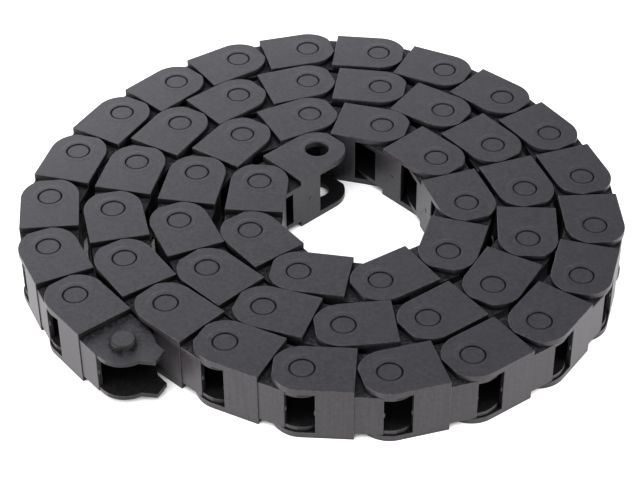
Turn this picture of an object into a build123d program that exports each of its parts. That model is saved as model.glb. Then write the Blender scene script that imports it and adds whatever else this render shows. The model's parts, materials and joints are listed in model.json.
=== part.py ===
from build123d import *
import math
import os

# Cable drag chain: one-piece moulded links, hinged pin in hole, wound into a flat coil.
# The coil lies on its side, so every hinge axis is along Z. All sizes are in millimetres.
#
# One link has its own frame: the holes are at the origin, the pins at (pitch, 0), and +Y is
# the side that faces the middle of the coil. The plates lie at the bottom and at the top.

# --- the chain -----------------------------------------------------------------------------
link_count = 50
pitch = 20.0
chain_width = 15.0        # over both outer plates, along the hinge axis
plate_width = 14.8        # across the chain, from its outer to its inner edge
bend_radius = 27.5        # tightest curve, measured at the hinge axes

# --- plates and pins -----------------------------------------------------------------------
outer_plate = 1.6         # thickness of the plate with the hole
inner_plate = 1.2         # thickness of the plate with the pin
plate_gap = 0.1           # between an outer plate and the inner plate under it
pin_radius = 3.0
pin_clearance = 0.1       # all round, between a pin and its hole
pin_recess = 0.15         # the pin's end stands below the outer plate's face
front_gap = 0.3           # between a plate's shoulder and the next link's round end
nose_flat = 0.6           # how much of the round end is cut off flat
outer_recess = 0.25       # the pin end stands back by this on the outside of the curve

# --- cross walls ---------------------------------------------------------------------------
shoulder = 1.9            # thickness of the solid step where the two plate levels meet
outer_wall = 1.25
outer_wall_start = 3.4
outer_wall_short = 1.0    # the outer wall ends this far before the pin's axis
inner_wall = 1.3
inner_wall_start = 5.6
inner_wall_short = 4.9    # the inner wall ends this far before the pin's axis

# --- rotation stops ------------------------------------------------------------------------
tab_length = 2.6          # how far the tab's corners reach past the plate's round end
stop_gap = 0.05           # left between the tab and each stop face
stop_rib = 1.0            # how far the outer rib stands in from its wall
stop_rib_start = 5.0
nose_recess = 0.5         # the inner plate's round end stands back by this, outside the curve

# --- the coil ------------------------------------------------------------------------------
coil_start_inset = 6.3    # the innermost hinge axis lies this far inside the tightest curve
coil_start_angle = 103.8  # degrees, the direction of that axis
coil_crown = 43.1         # radius where one pitch's chord rises by the room between turns
turn_gap = 0.05           # least gap left where a link lies against the turn inside it
swing_step = 0.1          # degrees by which a link is swung out to lie against that turn
coil_turns = 3.3          # turns over which the lobes change from their inner to outer size
# The hand-wound coil isn't quite round. Each lobe is (waves per turn, inner, outer), where
# inner and outer are its cosine and sine parts at the two ends of the chain.
coil_lobes = [
    (2, (-1.13, -1.18), (-0.76, -1.75)),
    (3, (0.49, -0.63), (-0.85, -0.61)),
    (4, (0.39, 0.10), (0.96, 0.18)),
    (5, (-0.12, -0.07), (-0.32, -0.10)),
]

# --- worked out ----------------------------------------------------------------------------
half_width = plate_width / 2
nose_radius = half_width - nose_recess
tab_reach = half_width + tab_length
pin_plate_top = chain_width - outer_plate - plate_gap
channel_top = pin_plate_top - inner_plate
channel_bottom = chain_width - channel_top
front = pitch - half_width - front_gap
cavity_end = front - shoulder
outer_wall_end = pitch - outer_wall_short
inner_wall_end = pitch - inner_wall_short
stop_angle = 2 * math.asin(pitch / 2 / bend_radius)
rib_face = half_width - outer_wall - stop_rib
inner_face = half_width - inner_wall
coil_start_radius = bend_radius - coil_start_inset
coil_growth = plate_width + pitch**2 / (8 * coil_crown)


def coil_radius(angle):
    """Distance of the coil's curve from its middle, at an angle that grows outward."""
    turns = (angle - math.radians(coil_start_angle)) / (2 * math.pi)
    radius = coil_start_radius + coil_growth * turns
    share = turns / coil_turns
    for waves, inner, outer in coil_lobes:
        cosine = inner[0] + (outer[0] - inner[0]) * share
        sine = inner[1] + (outer[1] - inner[1]) * share
        radius += cosine * math.cos(waves * angle) + sine * math.sin(waves * angle)
    return radius


def next_angle(x, y, angle):
    """The angle where the curve is one pitch on from the point (x, y)."""
    low = angle
    high = angle + math.pi / 2
    for _ in range(60):
        middle = (low + high) / 2
        radius = coil_radius(middle)
        away = math.hypot(radius * math.cos(middle) - x, radius * math.sin(middle) - y)
        if away < pitch:
            low = middle
        else:
            high = middle
    return low


def pin_of(place):
    """Where the pins of a placed link are."""
    x, y, heading = place
    return x + pitch * math.cos(heading), y + pitch * math.sin(heading)


def off_link(point, place):
    """Distance of a point from the line between a placed link's holes and its pins."""
    x, y, heading = place
    along = (point[0] - x) * math.cos(heading) + (point[1] - y) * math.sin(heading)
    across = (point[1] - y) * math.cos(heading) - (point[0] - x) * math.sin(heading)
    past = along - min(max(along, 0), pitch)
    return math.hypot(past, across)


def touches(place, earlier):
    """Whether a link comes too close to any of the links laid before it."""
    return any(
        off_link(point, line) < plate_width + turn_gap
        for other in earlier
        for point, line in ((pin_of(place), other), (other[:2], place), (pin_of(other), place))
    )


def lay_chain():
    """(x, y, heading) of each link, from the inner end out.

    The links follow the curve with hinges one pitch apart. No hinge bends past its stop
    or past straight, and no link comes closer to the turn inside it than the gap.
    """
    angle = math.radians(coil_start_angle)
    x = coil_radius(angle) * math.cos(angle)
    y = coil_radius(angle) * math.sin(angle)
    heading = None
    places = []
    for _ in range(link_count):
        target = next_angle(x, y, angle)
        radius = coil_radius(target)
        wanted = math.atan2(radius * math.sin(target) - y, radius * math.cos(target) - x)
        if heading is None:
            heading = wanted
        else:
            bend = (wanted - heading + math.pi) % (2 * math.pi) - math.pi
            heading += min(max(bend, 0.0), stop_angle)
        while touches((x, y, heading), places[:-1]):
            heading -= math.radians(swing_step)
        places.append((x, y, heading))
        x += pitch * math.cos(heading)
        y += pitch * math.sin(heading)
        angle += (math.atan2(y, x) - angle + math.pi) % (2 * math.pi) - math.pi
    return places


def block(x_from, x_to, y_from, y_to, z_from, z_to):
    """A box between three pairs of faces."""
    size = Box(x_to - x_from, y_to - y_from, z_to - z_from, align=(Align.MIN, Align.MIN, Align.MIN))
    return Pos(x_from, y_from, z_from) * size


def span(x_from, x_to, y_from, y_to):
    """A rectangle between two pairs of edges."""
    face = Rectangle(x_to - x_from, y_to - y_from, align=(Align.MIN, Align.MIN))
    return Pos(x_from, y_from) * face


def upright(x, radius, z_from, z_to):
    """A round bar along Z on one of the hinge axes."""
    bar = Cylinder(radius, z_to - z_from, align=(Align.CENTER, Align.CENTER, Align.MIN))
    return Pos(x, 0, z_from) * bar


def outer_plate_outline():
    """Plate with the hole: a round end, cut off a little flat, and a square shoulder."""
    outline = Circle(half_width) + span(0, front, -half_width, half_width)
    return outline - span(-2 * half_width, nose_flat - half_width, -half_width, half_width)


def tab_outline():
    """Stop tab past the pin, in the pin's frame.

    Its slanted edge meets the rib on the outer wall when the link is fully bent, and its
    long edge lies on the inner wall when the chain is straight.
    """
    edge = rib_face - stop_gap
    normal = stop_angle - math.pi / 2
    neck = normal + math.acos(edge / nose_radius)
    tip = normal + math.acos(edge / tab_reach)
    rest = inner_face - stop_gap
    return Polygon(
        (0, 0),
        (nose_radius * math.cos(neck), nose_radius * math.sin(neck)),
        (tab_reach * math.cos(tip), tab_reach * math.sin(tip)),
        (math.sqrt(tab_reach**2 - rest**2), rest),
        (math.sqrt(half_width**2 - rest**2), rest),
        align=None,
    )


def inner_plate_outline():
    """Plate with the pin: straight from the shoulder, round about the pin, then the tab."""
    outer_edge = outer_recess - half_width
    arm = span(cavity_end, pitch, -nose_radius, half_width)
    arm += span(cavity_end, outer_wall_end, outer_edge, 0)
    inner_round = Circle(half_width) & span(0, half_width, half_width / 2, half_width)
    return arm + Pos(pitch, 0) * (Circle(nose_radius) + inner_round + tab_outline())


def cross_walls():
    """The two walls that hold the plates apart, with the outer wall's stop ribs."""
    outer_edge = outer_recess - half_width
    walls = block(outer_wall_start, front, -half_width, outer_wall - half_width, 0, chain_width)
    walls += block(
        cavity_end, outer_wall_end, outer_edge, outer_edge + outer_wall, channel_bottom, channel_top
    )
    walls += block(inner_wall_start, front, inner_face, half_width, 0, chain_width)
    walls += block(cavity_end, inner_wall_end, inner_face, half_width, channel_bottom, channel_top)
    return walls


def half_link():
    """What one side of the link has: both plates, the shoulder, the pin and the hole."""
    hole_radius = pin_radius + pin_clearance
    top = Pos(0, 0, chain_width - outer_plate) * extrude(outer_plate_outline(), outer_plate)
    top -= upright(0, hole_radius, chain_width - outer_plate, chain_width)
    top += Pos(0, 0, channel_top) * extrude(inner_plate_outline(), inner_plate)
    top += block(cavity_end, front, -half_width, half_width, channel_top, chain_width)
    pin = upright(pitch, pin_radius, pin_plate_top, chain_width - pin_recess)
    rib = block(
        stop_rib_start, front, outer_wall - half_width, -rib_face, channel_top, chain_width - outer_plate
    )
    return top + pin + rib


def make_link():
    """One whole link, the same above and below its middle."""
    top = half_link()
    bottom = mirror(top, Plane.XY.offset(chain_width / 2))
    return top + bottom + cross_walls()


def middle_of(pieces):
    """The middle, in plan, of the box round all the pieces."""
    boxes = [piece.bounding_box() for piece in pieces]
    x = (min(box.min.X for box in boxes) + max(box.max.X for box in boxes)) / 2
    y = (min(box.min.Y for box in boxes) + max(box.max.Y for box in boxes)) / 2
    return x, y


def make_chain():
    """Every link in its place, from the inner end out, and the middle of the coil's box."""
    link = make_link()
    chain = [
        Pos(x, y, 0) * Rot(0, 0, math.degrees(heading)) * link for x, y, heading in lay_chain()
    ]
    return chain, middle_of(chain)


if __name__ == "__main__":
    os.makedirs("parts", exist_ok=True)
    chain, (middle_x, middle_y) = make_chain()
    for number, placed in enumerate(chain, start=1):
        # the origin is under the middle of the coil's box
        export_step(Pos(-middle_x, -middle_y, 0) * placed, f"parts/link_{number:02d}.step")
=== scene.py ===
import json
import math

import bmesh
import bpy
from mathutils import Matrix, Vector


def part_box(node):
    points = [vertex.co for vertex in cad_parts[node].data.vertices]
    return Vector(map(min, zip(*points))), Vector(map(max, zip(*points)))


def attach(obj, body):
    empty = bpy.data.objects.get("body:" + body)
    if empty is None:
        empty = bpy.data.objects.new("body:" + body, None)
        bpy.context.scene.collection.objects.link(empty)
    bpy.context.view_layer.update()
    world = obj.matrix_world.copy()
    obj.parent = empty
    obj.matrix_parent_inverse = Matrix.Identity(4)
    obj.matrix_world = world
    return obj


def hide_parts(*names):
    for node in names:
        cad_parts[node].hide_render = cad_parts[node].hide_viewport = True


# Cable drag chain in a flat coil. Every link is the same moulding, so one detailed mesh is made
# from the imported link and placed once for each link. All sizes are in metres.
#
# A link has its own frame: its holes at the origin, its pins out along X, its outside at -Y.

MM = 0.001

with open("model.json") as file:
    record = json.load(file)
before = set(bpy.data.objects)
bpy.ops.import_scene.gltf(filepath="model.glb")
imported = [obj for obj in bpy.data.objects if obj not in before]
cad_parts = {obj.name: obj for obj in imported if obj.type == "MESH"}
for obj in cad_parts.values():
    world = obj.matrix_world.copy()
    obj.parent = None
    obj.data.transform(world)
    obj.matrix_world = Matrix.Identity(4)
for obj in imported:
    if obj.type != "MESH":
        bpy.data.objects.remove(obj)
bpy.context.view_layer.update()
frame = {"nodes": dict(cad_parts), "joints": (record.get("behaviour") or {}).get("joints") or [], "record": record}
scene = bpy.context.scene

# --- the links' places, from the hinges and the two open ends ----------------------------------
joints = sorted(frame["joints"], key=lambda joint: joint["name"])
mounts = {mount["name"]: mount for mount in frame["record"]["mounts"]}
axis_points = [mounts["inner_end_holes"]["pos_m"]]
axis_points += [joint["pos_m"] for joint in joints]
axis_points += [mounts["outer_end_pin_top"]["pos_m"]]
axis_points = [Vector((x, y, 0)) for x, y, _ in axis_points]
pitch = (axis_points[1] - axis_points[0]).length
pin_radius = mounts["outer_end_pin_top"]["dims"]["r_mm"] * MM
link_names = sorted(frame["nodes"])
model_link = link_names[len(link_names) // 2]
chain_width = (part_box(model_link)[1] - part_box(model_link)[0]).z
half_height = chain_width / 2

# --- moulded detail ----------------------------------------------------------------------------
edge_round = 0.22 * MM     # on every outer edge of the moulding
pin_round = 0.40 * MM      # on the rims of the pins
hole_round = 0.16 * MM     # on the rims of the holes
sharp_angle = math.radians(30)
smooth_angle = math.radians(40)
weld_distance = 0.002 * MM
flat_angle = math.radians(0.5)
circle_slack = 0.05        # an edge is on a pin or hole within this share of the pin's radius
normal_weight = 100        # how far the big faces decide the normals along their edges
# Small stop nubs at half height stand on the two end faces of the outer wall, beside the window.
nub_size = (0.30 * MM, 0.34 * MM, 0.80 * MM)
nub_places = [(3.4 * MM, -6.80 * MM, half_height), (19.0 * MM, -6.55 * MM, half_height)]
# A round ejector mark stands on the inner wall.
ejector_place = (9.0 * MM, 7.4 * MM, half_height)
ejector_radius = 0.55 * MM
ejector_height = 0.10 * MM

# --- darkened faces: painted shade -------------------------------------------------------------
# Recessed faces are darkened, from 0 for not at all to 1 for black. This is a look set against the photograph.
plate_level = 5.85 * MM    # from half height to between the inner plates and the outer ones
channel_side = 6.6 * MM    # from the middle of the link to the channel's sides
facing_share = 0.7         # a face looks along an axis when its normal has more of it than this
groove_reach = 1.1         # a face within this many pin radii of an axis is in the groove there
hole_rim_reach = 1.15      # the same for the rounded rim of a hole
channel_painted_shade = 0.8
groove_painted_shade = 0.85
pin_rim_painted_shade = 0.8
hole_rim_painted_shade = 0.6

# --- the plastic's look ------------------------------------------------------------------------
dark_grey = (0.0300, 0.0286, 0.0335, 1)
light_grey = (0.0465, 0.0448, 0.0515, 1)
cloud_grey = (0.0370, 0.0358, 0.0410, 1)
# the lighter rims: part wear, part painted highlight
worn_and_highlight_grey = (0.105, 0.103, 0.108, 1)
mottle_scale = 1100.0      # the noise scales are waves to the metre
cloud_scale = 130.0
speckle_scale = 1500.0
grain_scale = 6500.0
drag_scale = 1500.0
drag_stretch = 0.04        # along the hinge axis, which draws the drag marks out
seed_spread = 40.0         # how far apart the links' own patterns are
channel_look = 14.0 * MM   # how far off things still shade a point deep in a channel
groove_look = 2.2 * MM     # and one close in a groove
occlusion_samples = 8
sunk_from = 5.84 * MM      # plates that end below this height from the middle are sunk
sunk_to = 5.88 * MM        # and above this one they are not
ring_inside = 4.3 * MM     # the moulded ring round each hole's axis
ring_outside = 4.5 * MM

# --- floor and light ---------------------------------------------------------------------------
floor_half = 6.0
floor_drop = 0.02 * MM     # keeps the floor's face clear of the links' undersides
floor_look = 30.0 * MM
floor_white = (0.85, 0.85, 0.85, 1)
# the floor's colour in the slits, painted shade
floor_painted_shade = (0.10, 0.10, 0.10, 1)
floor_glow = 0.8
world_colour = (0.96, 0.97, 1.0, 1)
world_strength = 0.35
cool_light = (0.94, 0.96, 1.03)
sky_light = (0.96, 0.96, 1.06)
warm_light = (1.16, 1.0, 0.94)


def link_place(index):
    """A link's own frame: its holes at the origin, its pins out along X."""
    along = axis_points[index + 1] - axis_points[index]
    turn = Matrix.Rotation(math.atan2(along.y, along.x), 4, "Z")
    return Matrix.Translation(axis_points[index]) @ turn


def round_edges(bm, edges, radius, segments):
    """Rounds the given edges and returns the new faces."""
    made = bmesh.ops.bevel(
        bm, geom=edges, offset=radius, offset_type="OFFSET", segments=segments, profile=0.5,
        affect="EDGES", clamp_overlap=True, loop_slide=True,
    )
    return made["faces"]


def is_sharp(edge):
    """An outer edge between two faces that meet at a clear angle."""
    return edge.is_convex and edge.calc_face_angle() > sharp_angle


def on_circle(edge, x):
    """An edge on the round of the pin or the hole whose axis is at x."""
    reach = [math.hypot(vert.co.x - x, vert.co.y) for vert in edge.verts]
    return all(abs(r - pin_radius) < circle_slack * pin_radius for r in reach)


def painted_shade_of(face):
    """How much painted shade a face gets: round the pins and holes, and all that faces the channel."""
    middle = face.calc_center_median()
    height = middle.z - half_height
    if abs(face.normal.z) > facing_share:
        return channel_painted_shade if height * face.normal.z < 0 else 0.0
    if abs(height) > plate_level:
        from_pin = math.hypot(middle.x - pitch, middle.y)
        from_hole = math.hypot(middle.x, middle.y)
        return groove_painted_shade if min(from_pin, from_hole) < groove_reach * pin_radius else 0.0
    if abs(face.normal.x) > facing_share or abs(middle.y) < channel_side:
        return channel_painted_shade
    return 0.0


def modified(mesh, kind, **settings):
    """A copy of the mesh with one modifier applied."""
    holder = bpy.data.objects.new("holder", mesh)
    scene.collection.objects.link(holder)
    modifier = holder.modifiers.new(kind, kind)
    for name, value in settings.items():
        setattr(modifier, name, value)
    depsgraph = bpy.context.evaluated_depsgraph_get()
    result = bpy.data.meshes.new_from_object(holder.evaluated_get(depsgraph))
    bpy.data.objects.remove(holder)
    return result


def add_details(link):
    """Joins the small nubs and the ejector mark to the link's mesh."""
    bm = bmesh.new()
    for place in nub_places:
        made = bmesh.ops.create_uvsphere(bm, u_segments=16, v_segments=10, radius=1.0)
        shape = Matrix.Translation(place) @ Matrix.Diagonal((*nub_size, 1.0))
        bmesh.ops.transform(bm, matrix=shape, verts=made["verts"])
    made = bmesh.ops.create_cone(
        bm, cap_ends=True, segments=24, radius1=ejector_radius, radius2=ejector_radius,
        depth=2 * ejector_height,
    )
    shape = Matrix.Translation(ejector_place) @ Matrix.Rotation(math.pi / 2, 4, "X")
    bmesh.ops.transform(bm, matrix=shape, verts=made["verts"])
    mesh = bpy.data.meshes.new("details")
    bm.to_mesh(mesh)
    bm.free()
    details = bpy.data.objects.new("details", mesh)
    scene.collection.objects.link(details)
    joined = modified(link, "BOOLEAN", operation="UNION", solver="EXACT", object=details)
    bpy.data.objects.remove(details)
    return joined


def make_link_mesh():
    """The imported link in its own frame, with its moulded edges rounded."""
    source = frame["nodes"][model_link].data.copy()
    source.transform(link_place(link_names.index(model_link)).inverted())
    bm = bmesh.new()
    bm.from_mesh(source)
    bmesh.ops.remove_doubles(bm, verts=bm.verts, dist=weld_distance)
    bmesh.ops.dissolve_limit(
        bm, angle_limit=flat_angle, use_dissolve_boundaries=False, verts=bm.verts, edges=bm.edges
    )
    sharp = [edge for edge in bm.edges if is_sharp(edge)]
    pin_rims = [edge for edge in sharp if on_circle(edge, pitch)]
    hole_rims = [edge for edge in sharp if on_circle(edge, 0)]
    others = [edge for edge in sharp if edge not in pin_rims and edge not in hole_rims]
    # Painted shade: faces in the channel, round the pins and on the hole rims are darkened through this layer.
    painted_shade_layer = bm.faces.layers.float.new("dark")
    rim_layer = bm.faces.layers.float.new("rim")
    for face in bm.faces:
        face[painted_shade_layer] = painted_shade_of(face)
    grooves = round_edges(bm, pin_rims, pin_round, 4)
    rims = round_edges(bm, hole_rims, hole_round, 2) + round_edges(bm, others, edge_round, 2)
    # The rounds on the outer edges get a lighter colour, part wear and part painted highlight; those on the hole
    # rims get painted shade.
    for face in rims:
        if face.is_valid:
            middle = face.calc_center_median()
            at_hole = math.hypot(middle.x, middle.y) < hole_rim_reach * pin_radius
            face[rim_layer] = 0.0 if at_hole else 1.0
            face[painted_shade_layer] = hole_rim_painted_shade if at_hole else 0.0
    for face in grooves:
        if face.is_valid:
            face[painted_shade_layer] = pin_rim_painted_shade
    plain = bpy.data.meshes.new("link")
    bm.to_mesh(plain)
    bm.free()
    mesh = add_details(plain)
    mesh.shade_smooth()
    mesh.set_sharp_from_angle(angle=smooth_angle)
    # The big flat faces keep their own normals, and the narrow rounds blend between them.
    mesh = modified(mesh, "WEIGHTED_NORMAL", keep_sharp=True, weight=normal_weight)
    mesh.materials.clear()
    return mesh


# --- materials ---------------------------------------------------------------------------------
class Nodes:
    """Short calls for building one material's node tree."""

    def __init__(self, name):
        self.material = bpy.data.materials.new(name)
        self.material.use_nodes = True
        self.tree = self.material.node_tree
        self.tree.nodes.clear()

    def add(self, kind, inputs=None, **settings):
        node = self.tree.nodes.new(kind)
        for name, value in settings.items():
            setattr(node, name, value)
        for name, value in (inputs or {}).items():
            if isinstance(value, bpy.types.NodeSocket):
                self.tree.links.new(value, node.inputs[name])
            else:
                node.inputs[name].default_value = value
        return node

    def math(self, operation, *values):
        return self.add("ShaderNodeMath", dict(enumerate(values)), operation=operation).outputs[0]

    def ramp(self, value, start, end, low=0.0, high=1.0):
        """A smooth step of a value, from low at start to high at end."""
        return self.add(
            "ShaderNodeMapRange",
            {"Value": value, "From Min": start, "From Max": end, "To Min": low, "To Max": high},
            interpolation_type="SMOOTHSTEP",
        ).outputs[0]

    def mix(self, factor, first, second):
        return self.add(
            "ShaderNodeMix", {"Factor": factor, "A": first, "B": second}, data_type="RGBA"
        ).outputs["Result"]

    def noise(self, place, scale, detail=3.0, seed=None):
        inputs = {"Vector": place, "Scale": scale, "Detail": detail}
        if seed is None:
            return self.add("ShaderNodeTexNoise", inputs).outputs["Fac"]
        inputs["W"] = seed
        return self.add("ShaderNodeTexNoise", inputs, noise_dimensions="4D").outputs["Fac"]

    def open_to(self, distance):
        """How open a point is to its surroundings, from 0 to 1, as far off as the distance."""
        return self.add(
            "ShaderNodeAmbientOcclusion", {"Distance": distance}, samples=occlusion_samples
        ).outputs["AO"]

    def bump(self, height, strength, distance, normal=None):
        """A bumped normal, laid over another one where that is given."""
        inputs = {"Height": height, "Strength": strength, "Distance": distance}
        if normal is not None:
            inputs["Normal"] = normal
        return self.add("ShaderNodeBump", inputs).outputs["Normal"]


def plastic_material():
    """Fine matte moulded plastic: dark grey, with spark-eroded grain, faint drag marks down the walls, darkened
    recesses that are painted shade, and edges that are a little lighter, partly from wear by rubbing and partly as
    a painted highlight."""
    n = Nodes("link_plastic")
    place = n.add("ShaderNodeTexCoord").outputs["Object"]
    geometry = n.add("ShaderNodeNewGeometry")
    dark = n.add("ShaderNodeAttribute", attribute_name="dark").outputs["Fac"]
    rim = n.add("ShaderNodeAttribute", attribute_name="rim").outputs["Fac"]
    own = n.add("ShaderNodeObjectInfo").outputs["Random"]
    seed = n.math("MULTIPLY", own, seed_spread)
    mottle = n.noise(place, mottle_scale, detail=6.0, seed=seed)
    cloud = n.noise(place, cloud_scale, detail=2.0, seed=seed)
    speckle = n.noise(place, speckle_scale, detail=5.0, seed=seed)
    grain = n.noise(place, grain_scale)
    drawn_out = n.add("ShaderNodeMapping", {"Vector": place, "Scale": (1.0, 1.0, drag_stretch)})
    drag = n.noise(drawn_out.outputs[0], drag_scale, seed=seed)

    # Painted shade: what is deep in a channel or close in a groove is darkened in the colour by occlusion, and
    # plates that sit lower get fine dark specks of painted shade. The lamps alone leave these places lighter than
    # the photograph has them.
    channel = n.open_to(channel_look)
    groove = n.open_to(groove_look)
    level = n.add("ShaderNodeSeparateXYZ", {"Vector": place}).outputs["Z"]
    level = n.math("ABSOLUTE", n.math("SUBTRACT", level, half_height))
    facing = n.add("ShaderNodeSeparateXYZ", {"Vector": geometry.outputs["Normal"]}).outputs["Z"]
    facing = n.math("ABSOLUTE", facing)
    sunk = n.math("MULTIPLY", n.ramp(level, sunk_from, sunk_to, low=1.0, high=0.0),
                  n.ramp(facing, 0.8, 0.95))
    sunk = n.math("MULTIPLY", sunk, n.ramp(channel, 0.78, 0.93, low=1.0, high=0.0))
    specks = n.ramp(speckle, 0.46, 0.56, low=0.03)
    speckled = n.add("ShaderNodeMix", {"Factor": sunk, "A": 1.0, "B": specks}, data_type="FLOAT")
    open_share = n.math("MULTIPLY", n.ramp(channel, 0.15, 0.46, low=0.12),
                        n.ramp(groove, 0.35, 0.85, low=0.30))
    open_share = n.math("MULTIPLY", open_share, n.math("SUBTRACT", 1.0, dark))
    open_share = n.math("MULTIPLY", open_share, speckled.outputs["Result"])

    tone = n.math("ADD", n.math("MULTIPLY", mottle, 0.55), n.math("MULTIPLY", drag, 0.45))
    base = n.mix(n.ramp(tone, 0.40, 0.60), dark_grey, light_grey)
    base = n.mix(n.ramp(cloud, 0.3, 0.7, high=0.4), base, cloud_grey)
    # Wear and painted highlight: the rounded rims are mixed towards a lighter grey.
    rubbed = n.math("MULTIPLY", rim, n.ramp(mottle, 0.42, 0.6, low=0.05, high=0.35))
    worn_and_highlight = n.mix(rubbed, base, worn_and_highlight_grey)
    shade = n.add("ShaderNodeMix", {"Factor": 1.0, "A": worn_and_highlight, "B": open_share},
                  data_type="RGBA", blend_type="MULTIPLY").outputs["Result"]
    rough = n.math("ADD", n.math("MULTIPLY", mottle, 0.5), n.math("MULTIPLY", drag, 0.5))
    rough = n.ramp(rough, 0.35, 0.65, low=0.33, high=0.40)
    rough = n.math("MAXIMUM", rough, n.math("MULTIPLY", n.math("MAXIMUM", sunk, dark), 0.7))
    flat_place = n.add("ShaderNodeVectorMath", {0: place, 1: (1.0, 1.0, 0.0)},
                       operation="MULTIPLY").outputs[0]
    reach = n.add("ShaderNodeVectorMath", {0: flat_place}, operation="LENGTH").outputs["Value"]
    ring = n.ramp(reach, ring_inside, ring_outside, low=1.0, high=0.0)
    normal = n.bump(ring, 0.5, 0.05 * MM)
    normal = n.bump(grain, 0.4, 0.02 * MM, normal)
    normal = n.bump(drag, 0.3, 0.03 * MM, normal)
    normal = n.bump(mottle, 0.25, 0.04 * MM, normal)
    shader = n.add("ShaderNodeBsdfPrincipled", {
        "Base Color": shade, "Roughness": rough, "Normal": normal,
        "Specular IOR Level": 0.42, "IOR": 1.5,
    })
    n.add("ShaderNodeOutputMaterial", {"Surface": shader.outputs[0]})
    return n.material


def floor_material():
    """White paper. It shows white to the camera and takes a soft contact shadow, partly cast by the lamps and
    partly painted shadow, and its colour and glow are darkened by occlusion in the slits between the turns as
    painted shade, where no light gets down to it."""
    n = Nodes("white_floor")
    path = n.add("ShaderNodeLightPath")
    seen = n.math("MAXIMUM", path.outputs["Is Camera Ray"], path.outputs["Is Glossy Ray"])
    # Painted shadow: occlusion darkens the floor's colour and glow near the links and in the slits.
    floor_open_share = n.ramp(n.open_to(floor_look), 0.06, 0.32)
    glow = n.math("MULTIPLY", n.math("MULTIPLY", seen, floor_glow), floor_open_share)
    paper = n.add("ShaderNodeBsdfDiffuse", {"Color": n.mix(floor_open_share, floor_painted_shade, floor_white)})
    light = n.add("ShaderNodeEmission", {"Color": (1, 1, 1, 1), "Strength": glow})
    both = n.add("ShaderNodeAddShader", {0: paper.outputs[0], 1: light.outputs[0]})
    n.add("ShaderNodeOutputMaterial", {"Surface": both.outputs[0]})
    return n.material


# --- build the chain ---------------------------------------------------------------------------
plastic = plastic_material()
link_mesh = make_link_mesh()
link_mesh.materials.append(plastic)
for index, name in enumerate(link_names):
    piece = bpy.data.objects.new(name + "_moulding", link_mesh)
    scene.collection.objects.link(piece)
    piece.matrix_world = link_place(index)
    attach(piece, name)
    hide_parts(name)

# --- floor -------------------------------------------------------------------------------------
floor_mesh = bpy.data.meshes.new("floor")
floor_mesh.from_pydata(
    [(-floor_half, -floor_half, 0), (floor_half, -floor_half, 0),
     (floor_half, floor_half, 0), (-floor_half, floor_half, 0)], [], [(0, 1, 2, 3)])
floor = bpy.data.objects.new("floor", floor_mesh)
floor.location.z = -floor_drop
floor_mesh.materials.append(floor_material())
scene.collection.objects.link(floor)

# --- light -------------------------------------------------------------------------------------
world = bpy.data.worlds.new("studio")
scene.world = world
world.use_nodes = True
background = world.node_tree.nodes["Background"]
background.inputs["Color"].default_value = world_colour
background.inputs["Strength"].default_value = world_strength


def softbox(name, place, target, size, power, colour):
    """A rectangular lamp that points at the target."""
    lamp = bpy.data.lights.new(name, "AREA")
    lamp.shape = "RECTANGLE"
    lamp.size, lamp.size_y = size
    lamp.energy = power
    lamp.color = colour
    holder = bpy.data.objects.new(name, lamp)
    holder.location = place
    holder.rotation_euler = (Vector(target) - Vector(place)).to_track_quat("-Z", "Y").to_euler()
    scene.collection.objects.link(holder)


coil_middle = (0, 0, half_height)
softbox("key_light", (-0.45, 0.80, 0.48), coil_middle, (0.6, 0.5), 1.7, cool_light)
softbox("back_light", (-0.12, 0.85, 0.26), coil_middle, (0.6, 0.3), 1.7, cool_light)
softbox("top_light", (-0.15, -0.30, 0.95), coil_middle, (0.8, 0.8), 4.2, sky_light)
softbox("left_light", (-0.85, -0.30, 0.12), coil_middle, (0.5, 0.3), 8.8, warm_light)
softbox("right_light", (0.85, -0.30, 0.12), coil_middle, (0.5, 0.3), 5.9, warm_light)

# --- camera ------------------------------------------------------------------------------------
camera_data = bpy.data.cameras.new("camera")
camera_data.sensor_width = 36.0
camera_data.lens = 106.13
camera_data.clip_start = 0.01
camera = bpy.data.objects.new("camera", camera_data)
camera_place = Vector((0.00005, -0.37852, 0.30934))
camera_tilt = math.radians(39.304)   # below the horizon
camera_roll = math.radians(0.371)
camera.matrix_world = (
    Matrix.Translation(camera_place)
    @ Matrix.Rotation(math.pi / 2 - camera_tilt, 4, "X")
    @ Matrix.Rotation(-camera_roll, 4, "Z")
)
scene.collection.objects.link(camera)
scene.camera = camera
scene.view_settings.view_transform = "Standard"
